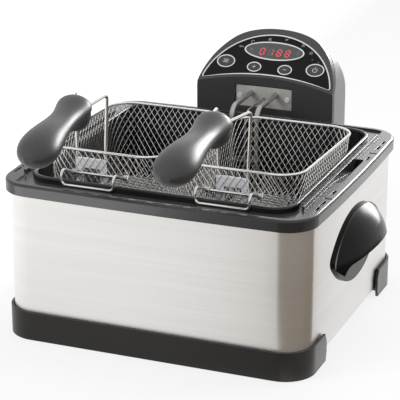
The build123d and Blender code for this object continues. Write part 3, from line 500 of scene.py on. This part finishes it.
lens_green = cloud.mix((0.004, 0.05, 0.03, 1), (0.006, 0.08, 0.05, 1))
sockets = {
    "Base Color": (across > between_lenses * mm).mix(lens_red, lens_green),
    "Roughness": 0.18 + 0.1 * cloud,
    "Coat Weight": 0.4,
}
close_finish(start, sockets)
key_plastic = grained(
    "key_plastic",
    dark=(0.022, 0.023, 0.025, 1),
    light=(0.034, 0.036, 0.038, 1),
    roughness=0.34,
    grain=1500.0,
    depth=0.00002,
    round_edge=0.0004,
)
dress(panel_gloss, "control_panel")
dress(bright_trim, "panel_trim", "display_ring", "button_rings")
dress(window_smoke, "display_window")
dress(lens_tint, "indicator_lenses")
dress(key_plastic, "menu_button", "plus_button", "minus_button", "power_button")

# Printed marks and the display's figures: thin plates on the panel, the keys and the window.
# Four seven-bar figures glow red in the window; the unlit bars stay grey.
panel_origin = np.array([0.0, 216.4, 238.3])
panel_slope = math.radians(44.0)
panel_right = np.array([1.0, 0.0, 0.0])
panel_up = np.array([0.0, math.cos(panel_slope), math.sin(panel_slope)])
panel_out = np.array([0.0, -math.sin(panel_slope), math.cos(panel_slope)])
print_height = 0.12
window_top, panel_top, key_top = 0.3, 0.2, 1.4
figure_height, figure_width, figure_pitch = 9.8, 5.9, 12.0
figure_middle = (1.3, 48.7)
bar_width, bar_gap = 1.7, 0.5
slant = 0.12
bars = {
    "a": ((-1, 1), (1, 1)),
    "b": ((1, 1), (1, 0)),
    "c": ((1, 0), (1, -1)),
    "d": ((-1, -1), (1, -1)),
    "e": ((-1, 0), (-1, -1)),
    "f": ((-1, 1), (-1, 0)),
    "g": ((-1, 0), (1, 0)),
}
figures = ("abcdef", "bc", "abcdefg", "abcdefg")
whole_ring = (0, 359.9)
outer_key, inner_key = (64.0, 28.0), (22.0, 23.5)
key_line, key_arm, menu_arm, menu_step = 0.45, 2.4, 3.6, 2.2
power_bow, power_bar, power_arm = (27.6, 3.2, 0.9, 125, 415), 30.2, 2.2


def on_panel(flat, height):
    """Places of (u, v) points at one height over the panel's plane."""
    flat = np.asarray(flat, float)
    return panel_origin + flat[:, :1] * panel_right + flat[:, 1:] * panel_up + height * panel_out


def mark(flat, low):
    """Thin plate on a closed outline of (u, v) points, anticlockwise, from low upwards."""
    count = len(flat)
    places = np.concatenate([on_panel(flat, low), on_panel(flat, low + print_height)])
    index = np.arange(count)
    ahead = (index + 1) % count
    sides = np.stack([index, ahead, ahead + count, index + count], 1)
    return places, [sides, (index + count)[None, :], index[None, ::-1]]


def oval_mark(u, v, half_u, half_v, steps=28):
    """Outline of an oval."""
    angle = np.linspace(0, 2 * math.pi, steps, endpoint=False)
    return np.stack([u + half_u * np.cos(angle), v + half_v * np.sin(angle)], 1)


def bar_mark(u, v, half_u, half_v, tilt=0.0):
    """Outline of a bar turned by tilt degrees."""
    corners = np.array([(-half_u, -half_v), (half_u, -half_v), (half_u, half_v), (-half_u, half_v)])
    c, s = math.cos(math.radians(tilt)), math.sin(math.radians(tilt))
    return corners @ np.array([[c, s], [-s, c]]) + (u, v)


def bow_mark(u, v, radius, width, start, end, steps=24):
    """Outline of part of a ring between two angles in degrees."""
    angle = np.radians(np.linspace(start, end, steps))
    way = np.stack([np.cos(angle), np.sin(angle)], 1)
    return np.concatenate([way * (radius + width / 2), way[::-1] * (radius - width / 2)]) + (u, v)


def figure_bar(column, ends):
    """Six-sided bar of one figure, between two corners of its box, leaning with the figure."""
    half = np.array([figure_width / 2, figure_height / 2])
    first, last = np.array(ends[0]) * half, np.array(ends[1]) * half
    along = (last - first) / np.linalg.norm(last - first)
    across = np.array([-along[1], along[0]])
    first, last = first + along * bar_gap, last - along * bar_gap
    point, side = along * bar_width / 2, across * bar_width / 2
    near, far = first + point, last - point
    outline = np.array([first, near - side, far - side, last, far + side, near + side])
    outline[:, 0] += outline[:, 1] * slant
    middle = (len(figures) - 1) / 2
    return outline + figure_middle + np.array([(column - middle) * figure_pitch, 0])


lit, unlit = [], []
for column, shown in enumerate(figures):
    for bar, ends in bars.items():
        (lit if bar in shown else unlit).append(mark(figure_bar(column, ends), window_top))

glow, start, place = new_finish("figure_glow")
cloud = clouds(start, place, 400.0, 1.0)
sockets = {
    "Base Color": cloud.mix((0.4, 0.04, 0.05, 1), (0.6, 0.08, 0.09, 1)),
    "Emission Color": cloud.mix((0.6, 0.05, 0.06, 1), (0.85, 0.11, 0.12, 1)),
    "Emission Strength": 0.5,
    "Roughness": 0.4,
}
close_finish(start, sockets)


def print_ink(name, dark, light, roughness):
    """Flat printed ink with hardly any grain."""
    return grained(name, dark, light, roughness, grain=900.0, depth=0.00001)


figure_grey = print_ink("figure_grey", (0.10, 0.09, 0.09, 1), (0.15, 0.14, 0.14, 1), 0.4)
put("display_figures", lit, glow, "head")
put("display_figures_unlit", unlit, figure_grey, "head")

# Each outline has its middle on the panel, then its half sizes or its radius and width, and its angles.
print_grey = print_ink("print_grey", (0.16, 0.165, 0.165, 1), (0.24, 0.245, 0.245, 1), 0.5)
panel_outlines = [
    oval_mark(-49.5, 53.3, 2.4, 1.3),
    np.array([(-47.4, 53.3), (-45.4, 54.6), (-45.4, 52.0)]),
    bow_mark(-34.3, 62.4, 2.1, 1.1, 20, 250),
    bar_mark(-11.1, 67.6, 2.4, 0.9),
    oval_mark(-11.1, 69.8, 1.7, 1.0),
    oval_mark(12.2, 70.6, 1.9, 1.3),
    bar_mark(14.8, 72.6, 1.6, 0.4, 40),
    bar_mark(36.4, 64.2, 0.5, 2.0, -10),
    bar_mark(37.8, 64.4, 0.5, 2.2),
    bar_mark(39.2, 64.2, 0.5, 2.0, 10),
    bow_mark(51.7, 53.8, 1.8, 1.2, *whole_ring),
]
window_outlines = [
    bow_mark(-33.0, 50.6, 1.6, 0.5, *whole_ring),
    bar_mark(-33.0, 51.0, 0.25, 0.8),
    bar_mark(33.0, 49.6, 0.35, 1.5),
    bow_mark(34.2, 52.0, 0.9, 0.4, *whole_ring),
]
panel_icons = [mark(outline, panel_top) for outline in panel_outlines]
put("panel_icons", panel_icons, print_grey, "head")
window_icons = [mark(outline, window_top) for outline in window_outlines]
put("window_icons", window_icons, print_grey, "head")

print_white = print_ink("print_white", (0.42, 0.43, 0.43, 1), (0.55, 0.56, 0.56, 1), 0.5)
(outer_u, outer_v), (inner_u, inner_v) = outer_key, inner_key
menu_rows = [outer_v + step for step in (-menu_step, 0.0, menu_step)]
key_outlines = {
    "menu": [bar_mark(-outer_u, row, menu_arm, key_line) for row in menu_rows],
    "plus": [bar_mark(-inner_u, inner_v, *half) for half in ((key_arm, key_line), (key_line, key_arm))],
    "minus": [bar_mark(inner_u, inner_v, key_arm, key_line)],
    "power": [bow_mark(outer_u, *power_bow), bar_mark(outer_u, power_bar, key_line, power_arm)],
}
for key, outlines in key_outlines.items():
    plates = [mark(outline, key_top) for outline in outlines]
    put(f"{key}_mark", plates, print_white, f"{key}_key")

# Immersion element, its probe and clip: nickel-steel tubes on a plate screwed to the front of the head.
# Heat has dulled the tubes unevenly.
element_steel = brushed_steel(
    "element_steel",
    dull=(0.34, 0.33, 0.31, 1),
    tint=(0.52, 0.51, 0.495, 1),
    scratch=(500, 500, 500),
    band=(40, 40, 40),
    roughness=0.34,
)
dress(element_steel, "heating_element", "thermostat_probe", "element_clip", "thermal_cutout")
plate_steel = grained(
    "plate_steel",
    dark=(0.54, 0.53, 0.51, 1),
    light=(0.66, 0.645, 0.62, 1),
    roughness=0.45,
    grain=1200.0,
    depth=0.00002,
    round_edge=0.0008,
    Metallic=0.3,
)
dress(plate_steel, "element_plate")
head_steel = grained(
    "head_steel",
    dark=(0.86, 0.85, 0.83, 1),
    light=(0.95, 0.94, 0.92, 1),
    roughness=0.26,
    grain=1600.0,
    depth=0.00002,
    round_edge=0.0008,
    Metallic=0.2,
)
dress(head_steel, "element_screws")

# Baskets: nickel-plated wire; a diamond net of thin wire is bent over a rim of thick wire and welded to it.
# A bracket behind the front net carries the two posts of the handle. A bent hook, with wire wound round both
# ends of its bar, hangs the basket on the rim.
basket_half = (79.0, 113.0)
basket_corner, basket_depth, basket_taper = 33.0, 96.4, 8.0
basket_places = {"left_basket": (-86.5, -12.0, 232.0), "right_basket": (86.5, -12.0, 232.0)}
hang_tilt = math.radians(2.0)
rim_wire = 3.4
net_wire, net_lap, net_top = 0.85, 0.25, -0.4
net_across, net_down = 8.4, 12.5
net_steps, wall_steps, fold_steps = 24, 22, 6
fold_round, fold_out, fold_end = 7.0, 0.6, -82.0
floor_level, floor_pitch = -97.2, 6.2
floor_span, floor_samples, floor_steps = 200.0, 1601, 6
bar_drop, bar_offset = 29.0, 2.4
coil_wire, coil_round, coil_turns, coil_steps = 2.2, 2.85, 2.5, 61
coil_reach = (30.6, 36.8)
# The bracket's near-white, bluish, nearly matt colour is painted light: it brightens the bracket in the
# shade inside the basket and stands in for the nickel's bright reflection.
bracket_nickel_painted_bright = grained(
    "bracket_nickel_painted_bright",
    dark=(0.86, 0.875, 0.91, 1),
    light=(0.95, 0.965, 1.0, 1),
    roughness=0.35,
    grain=1400.0,
    depth=0.00002,
    Metallic=0.1,
)
wire_bright = plated(
    "basket_wire", dark=(0.62, 0.61, 0.595, 1), light=(0.82, 0.81, 0.795, 1), roughness=0.22, grain=1500.0
)


def hung(surface, basket):
    """Surface of a level basket, tilted back about the rim's cross axis and moved to where it hangs."""
    places, blocks = surface
    x, y, z = np.moveaxis(places, -1, 0)
    c, s = math.cos(hang_tilt), math.sin(hang_tilt)
    return np.stack([x, y * c + z * s, z * c - y * s], -1) + np.array(basket_places[basket]), blocks


def tubes(lines, outward, radius, sides=5):
    """Round wires along many lines at once: a circle in the plane of the outward direction and of the
    cross product of the line's direction with it."""
    along = np.gradient(lines, axis=1)
    along /= np.linalg.norm(along, axis=2, keepdims=True)
    side = np.cross(along, outward)
    side /= np.linalg.norm(side, axis=2, keepdims=True)
    up = np.cross(side, along)
    angle = np.linspace(0, 2 * math.pi, sides, endpoint=False)
    circle = np.cos(angle)[:, None] * side[:, :, None, :] + np.sin(angle)[:, None] * up[:, :, None, :]
    places = lines[:, :, None, :] + radius * circle
    count, steps = lines.shape[:2]
    first = (np.arange(count) * steps * sides)[:, None, None]
    walls = grid_faces(steps, sides, loop=True)[None] + first
    caps = np.stack([np.arange(sides), np.arange(sides)[::-1] + (steps - 1) * sides])[None] + first
    return places.reshape(-1, 3), [walls.reshape(-1, 4), caps.reshape(-1, sides)]


def way_along(line):
    """Length from a line's first point to each of its points."""
    return np.concatenate([[0], np.cumsum(np.linalg.norm(np.diff(line, axis=0), axis=1))])


def net_walls():
    """Two families of wires that run down the walls at a slant, one cell across for one cell down,
    and turn in over a rounded fold at the bottom."""
    ring, out = rounded_outline(*basket_half, basket_corner, net_steps, net_steps)
    ring, out = np.concatenate([ring, ring[:1]]), np.concatenate([out, out[:1]])
    run = way_along(ring)
    around = run[-1]
    lean = math.degrees(math.atan2(basket_taper, basket_depth))
    turn = (fold_out - basket_taper - fold_round, fold_round - basket_depth)
    profile = np.concatenate([[(0.0, net_top)], arc(turn, fold_round, -lean, fold_end, fold_steps + 1)])
    length = way_along(profile)
    wall = np.linspace(0, length[1], wall_steps)[:-1]
    down = np.concatenate([wall, np.linspace(length[1], length[-1], fold_steps)])
    count = round(around / net_across)
    lines, ways = [], []
    for way in (-1, 1):
        begin = np.arange(count)[:, None] * around / count + (way + 1) / 4 * around / count
        at = (begin + way * down[None, :] * net_across / net_down) % around
        out_x, out_y = np.interp(at, run, out[:, 0]), np.interp(at, run, out[:, 1])
        inset = np.interp(down, length, profile[:, 0])[None, :] + way * net_lap
        x = np.interp(at, run, ring[:, 0]) + out_x * inset
        y = np.interp(at, run, ring[:, 1]) + out_y * inset
        z = np.broadcast_to(np.interp(down, length, profile[:, 1])[None, :], x.shape)
        lines.append(np.stack([x, y, z], 2))
        ways.append(np.stack([out_x, out_y, np.zeros_like(out_x)], 2))
    return tubes(np.concatenate(lines), np.concatenate(ways), net_wire / 2)


def net_floor():
    """Two families of straight wires across the floor at 45 degrees, each cut off at the rounded outline."""
    inset = basket_taper + fold_round / 2
    half = np.array(basket_half) - inset
    radius = basket_corner - inset
    offsets = np.arange(-floor_span, floor_span, floor_pitch)
    t = np.linspace(-floor_span, floor_span, floor_samples)
    share = np.linspace(0, 1, floor_steps)[None, :, None]
    lines = []
    for way in (1, -1):
        direction = np.array([1.0, way]) / math.sqrt(2)
        across = np.array([-direction[1], direction[0]])
        places = offsets[:, None, None] * across + t[None, :, None] * direction
        corner = np.maximum(np.abs(places) - (half - radius), 0)
        inside = np.hypot(corner[..., 0], corner[..., 1]) < radius
        used = inside.any(1)
        first, last = t[inside.argmax(1)][used], t[len(t) - 1 - inside[:, ::-1].argmax(1)][used]
        ends = first[:, None, None] * (1 - share) + last[:, None, None] * share
        flat = offsets[used][:, None, None] * across + ends * direction
        level = np.full(flat.shape[:2] + (1,), floor_level + way * net_lap)
        lines.append(np.concatenate([flat, level], 2))
    lines = np.concatenate(lines)
    return tubes(lines, np.broadcast_to([0.0, 0.0, 1.0], lines.shape), net_wire / 2)


def hook_coils():
    """Wire wound round both ends of the hook's bar: a helix about the bar's line, the angle growing with
    the way along it."""
    lean = basket_taper / basket_depth
    bar_y = (bar_drop - rim_wire / 2) * lean - basket_half[1] - bar_offset
    angle = np.linspace(0, 2 * math.pi * coil_turns, coil_steps)
    reach = np.linspace(*coil_reach, coil_steps)
    around = np.stack([np.zeros_like(angle), np.cos(angle), np.sin(angle)], 1)
    line = coil_round * around + np.array([0.0, bar_y, -bar_drop])
    lines = np.stack([line + np.outer(side * reach, [1.0, 0.0, 0.0]) for side in (-1, 1)])
    return tubes(lines, np.stack([around, around]), coil_wire / 2, 8)


for basket in basket_places:
    side = basket.split("_")[0]
    net = [hung(net_walls(), basket), hung(net_floor(), basket)]
    net_nodes = [f"{side}_basket_walls", f"{side}_basket_floor"]
    put(f"{side}_basket_net", net, wire_bright, basket, net_nodes)
    put(f"{side}_hook_coils", [hung(hook_coils(), basket)], wire_bright, basket)
    dress(wire_bright, f"{side}_basket_rim", f"{side}_handle_wires", f"{side}_drain_hook")
    dress(bracket_nickel_painted_bright, f"{side}_handle_bracket")

# Basket grips: hollow black mouldings, pushed on the ends of the posts; they swell at the far end
# and have a rounded guard under the collar.
grip_plastic = grained(
    "grip_plastic",
    dark=(0.028, 0.028, 0.029, 1),
    light=(0.040, 0.040, 0.041, 1),
    roughness=0.40,
    grain=1300.0,
    depth=0.00004,
    round_edge=0.004,
    **{"Specular IOR Level": 0.5},
)
dress(grip_plastic, "left_handle_grip", "right_handle_grip")

# Studio floor and surround: a pale floor that keeps the object's shadow, under an even white surround.
# What looks at them, by eye, in a mirror image or through glass, sees white; the matt surfaces get less.
# Light is painted on the floor's left: it glows brighter there, which lightens the object's shadow on that
# side and the front of the shell that mirrors it.
floor_half = 6.0
floor_pale = (0.85, 0.85, 0.85, 1)
floor_painted_glow = (1, 1, 1, 1), (1.3, 1.3, 1.3, 1)
glow_from, glow_full = -0.25, -0.5
floor_share, surround_fill = 0.8, 0.45


def looks(start):
    """Above nought for a ray that looks at a thing: from the camera, in a mirror image or through glass."""
    kinds = ("Is Camera Ray", "Is Glossy Ray", "Is Transmission Ray")
    camera_ray, glossy_ray, through_ray = (start.node("ShaderNodeLightPath", {}, {}, kind) for kind in kinds)
    return camera_ray + glossy_ray + through_ray


def ground(name, half_x, half_y, middle, height, finish):
    """Flat rectangle of the stage at a height over the floor."""
    corners = np.array([(-1, -1), (1, -1), (1, 1), (-1, 1)]) * (half_x, half_y) + middle
    mesh = bpy.data.meshes.new(name)
    mesh.from_pydata([(*corner, height) for corner in corners.tolist()], [], [(0, 1, 2, 3)])
    mesh.materials.append(finish)
    made = bpy.data.objects.new(name, mesh)
    bpy.context.scene.collection.objects.link(made)
    made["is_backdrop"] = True
    return made


world = bpy.data.worlds.new("studio")
bpy.context.scene.world = world
world.use_nodes = True
world.node_tree.nodes.clear()
start = Paint(world.node_tree)
strength = surround_fill + (1 - surround_fill) * (looks(start) > 0.5)
surround = start.node("ShaderNodeBackground", {}, {"Color": (1, 1, 1, 1), "Strength": strength})
start.node("ShaderNodeOutputWorld", {}, {"Surface": surround})

floor_white, start, place = new_finish("floor_white")
across = start.node("ShaderNodeSeparateXYZ", {}, {0: place}, "X")
leftward = start.node(
    "ShaderNodeMapRange", {}, {"Value": across, "From Min": glow_from, "From Max": glow_full}
)
matt = start.node("ShaderNodeBsdfDiffuse", {}, {"Color": floor_pale})
# Painted light: the floor's glow rises towards the left.
white = start.node("ShaderNodeEmission", {}, {"Color": leftward.mix(*floor_painted_glow)})
shared = start.node("ShaderNodeMixShader", {}, {0: floor_share * looks(start), 1: matt, 2: white})
start.node("ShaderNodeOutputMaterial", {}, {"Surface": shared})
ground("floor", floor_half, floor_half, (0.0, 0.0), 0.0, floor_white)

# Dark flags: two cards just over the floor that only mirror images see.
# They give the steel its darker right end and the slow fall of its brightness towards the corner.
azimuth, elevation, distance = math.radians(21.782), math.radians(20.858), 2.4221
flag_colour = (0.14, 0.10, 0.055, 1)


def soft_flag(name, low, high, start_line, full_line, shade, level):
    """Dark card between two corners, at a level over the floor. The distance of a place from the middle,
    measured across the way in which the front mirrors the camera, gives nought up to the start line and
    one from the full line on; its square times the shade is the cover."""
    finish, start, place = new_finish(name)
    across = (math.cos(azimuth), -math.sin(azimuth), 0.0)
    beyond = start.node("ShaderNodeVectorMath", {"operation": "DOT_PRODUCT"}, {0: place, 1: across}, "Value")
    rise = start.node(
        "ShaderNodeMapRange", {}, {"Value": beyond, "From Min": start_line, "From Max": full_line}
    )
    clear = start.node("ShaderNodeBsdfTransparent", {}, {})
    dark = start.node("ShaderNodeEmission", {}, {"Color": flag_colour, "Strength": 1.0})
    cut = start.node("ShaderNodeMixShader", {}, {0: shade * rise * rise, 1: clear, 2: dark})
    start.node("ShaderNodeOutputMaterial", {}, {"Surface": cut})
    low, high = np.array(low), np.array(high)
    made = ground(name, *((high - low) / 2), (high + low) / 2, level, finish)
    made.visible_camera = made.visible_diffuse = made.visible_shadow = made.visible_transmission = False


soft_flag(
    "corner_flag", (0.0, -3.0), (3.0, 0.9), start_line=0.226, full_line=0.258, shade=0.98, level=0.001
)
soft_flag(
    "front_flag", (-0.8, -1.4), (0.6, -0.2), start_line=0.010, full_line=0.215, shade=0.33, level=0.0015
)


# Soft boxes: three large ones light the matt surfaces, and the rest lay a sheen on glossy pieces.
# Most of these shine in named pieces only. The carry handles are kept out of mirror images, because the
# brushed steel is too dull to show them.
def soft_box(name, place, aim, size, watts, pieces=(), shines=True):
    """Area light at a place, turned to its aim, that the camera does not see. It shines in the glossy
    surfaces, where pieces are given in theirs alone, or else it lights the matt ones."""
    lamp = bpy.data.lights.new(name, "AREA")
    lamp.shape = "RECTANGLE"
    lamp.size, lamp.size_y = size
    lamp.energy = watts
    made = bpy.data.objects.new(name, lamp)
    made.location = place
    made.rotation_mode = "QUATERNION"
    made.rotation_quaternion = (Vector(aim) - Vector(place)).to_track_quat("-Z", "Y")
    made.visible_camera = False
    made.visible_glossy, made.visible_diffuse = shines, not shines
    bpy.context.scene.collection.objects.link(made)
    if pieces:
        linked = bpy.data.collections.new(f"{name}_pieces")
        for piece in pieces:
            linked.objects.link(piece)
        made.light_linking.receiver_collection = linked


def cad_pieces(*nodes):
    """Objects of CAD nodes."""
    return [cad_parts[node] for node in nodes]


rim = cad_pieces("top_rim")
feet = cad_pieces("front_foot", "rear_foot")
covers = cad_pieces("head_front_cover", "head_rear_cover")
carry_handles = cad_pieces("right_carry_handle", "left_carry_handle")
grips = cad_pieces("right_handle_grip", "left_handle_grip")
edges = rim + covers + [coated_pot]
soft_box("key_box", (-1.1, -1.3, 1.5), (0, 0, 0.12), (0.9, 0.9), watts=20, shines=False)
soft_box("right_box", (1.35, 1.1, 1.2), (0, 0, 0.12), (0.8, 0.8), watts=14, shines=False)
soft_box("top_box", (0.0, 0.5, 1.8), (0, 0, 0.15), (1.0, 0.7), watts=12, shines=False)
soft_box("back_shine", (0.24, 1.25, 0.68), (0.2, 0, 0.15), (0.5, 0.46), watts=15, pieces=edges)
soft_box("rim_shine", (-0.36, 1.25, 0.70), (0, 0, 0.2), (0.6, 0.5), watts=1.2)
soft_box("handle_shine", (0.16, 1.25, 0.36), (0.2, 0, 0.14), (0.8, 0.58), watts=13, pieces=carry_handles)
soft_box("side_shine", (0.42, 0.25, 0.002), (0.42, 0.25, 1), (0.5, 1.0), watts=1, pieces=rim + feet)
soft_box("front_shine", (-0.48, -0.65, 0.002), (-0.48, -0.65, 1), (0.6, 0.5), watts=2.9, pieces=rim)
soft_box("grip_shine", (0.42, 0.52, 0.66), (0, -0.25, 0.27), (0.65, 0.4), watts=17, pieces=grips)
for handle in carry_handles:
    handle.visible_glossy = False

# Camera: where the photograph was taken, to the right of the front and a little above.
# Its shift puts the middle of the lens where the photograph has it, in pixels of a square image.
aim_height = 0.105
image_side, focal_pixels = 400.0, 1900.0
lens_middle = (205.465, 228.924)
camera_data = bpy.data.cameras.new("camera")
camera = bpy.data.objects.new("camera", camera_data)
bpy.context.scene.collection.objects.link(camera)
flat = math.cos(elevation)
back = Vector((math.sin(azimuth) * flat, -math.cos(azimuth) * flat, math.sin(elevation)))
camera.location = Vector((0, 0, aim_height)) + back * distance
camera.rotation_mode = "QUATERNION"
camera.rotation_quaternion = (-back).to_track_quat("-Z", "Y")
camera_data.sensor_width = 36.0
camera_data.lens = focal_pixels / image_side * camera_data.sensor_width
camera_data.shift_x = (image_side / 2 - lens_middle[0]) / image_side
camera_data.shift_y = (lens_middle[1] - image_side / 2) / image_side
camera_data.clip_end = 50.0
bpy.context.scene.camera = camera
bpy.context.scene.view_settings.view_transform = "Standard"

low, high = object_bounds()
